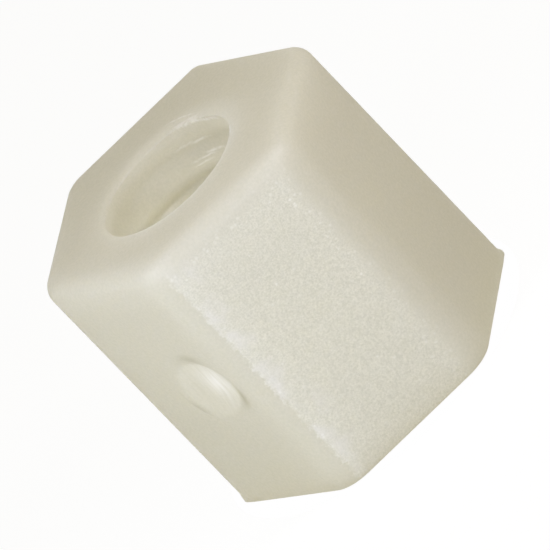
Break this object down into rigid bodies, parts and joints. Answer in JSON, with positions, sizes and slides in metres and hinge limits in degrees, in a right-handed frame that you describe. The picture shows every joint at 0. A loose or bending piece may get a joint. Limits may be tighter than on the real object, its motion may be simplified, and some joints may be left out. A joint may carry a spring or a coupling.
{
  "type": "hex standoff",
  "caption": "Short hexagonal spacer of natural nylon with a threaded hole right through, soft long edges, a rounded upper end and a sharp lower end.",
  "frame": {"origin": "middle of the lower end face, on the axis of the hole", "axes": "+Z along the hole towards the rounded end, +X through the long edge where the mould parts, Y across a pair of flats"},
  "size_m": [0.0072, 0.0064, 0.0063],
  "materials": {
    "natural_nylon": "satin as moulded, milky and slightly translucent, with one spark-grained side face"
  },
  "bodies": {
    "root": {"standoff_body": "natural_nylon"}
  },
  "joints": []
}
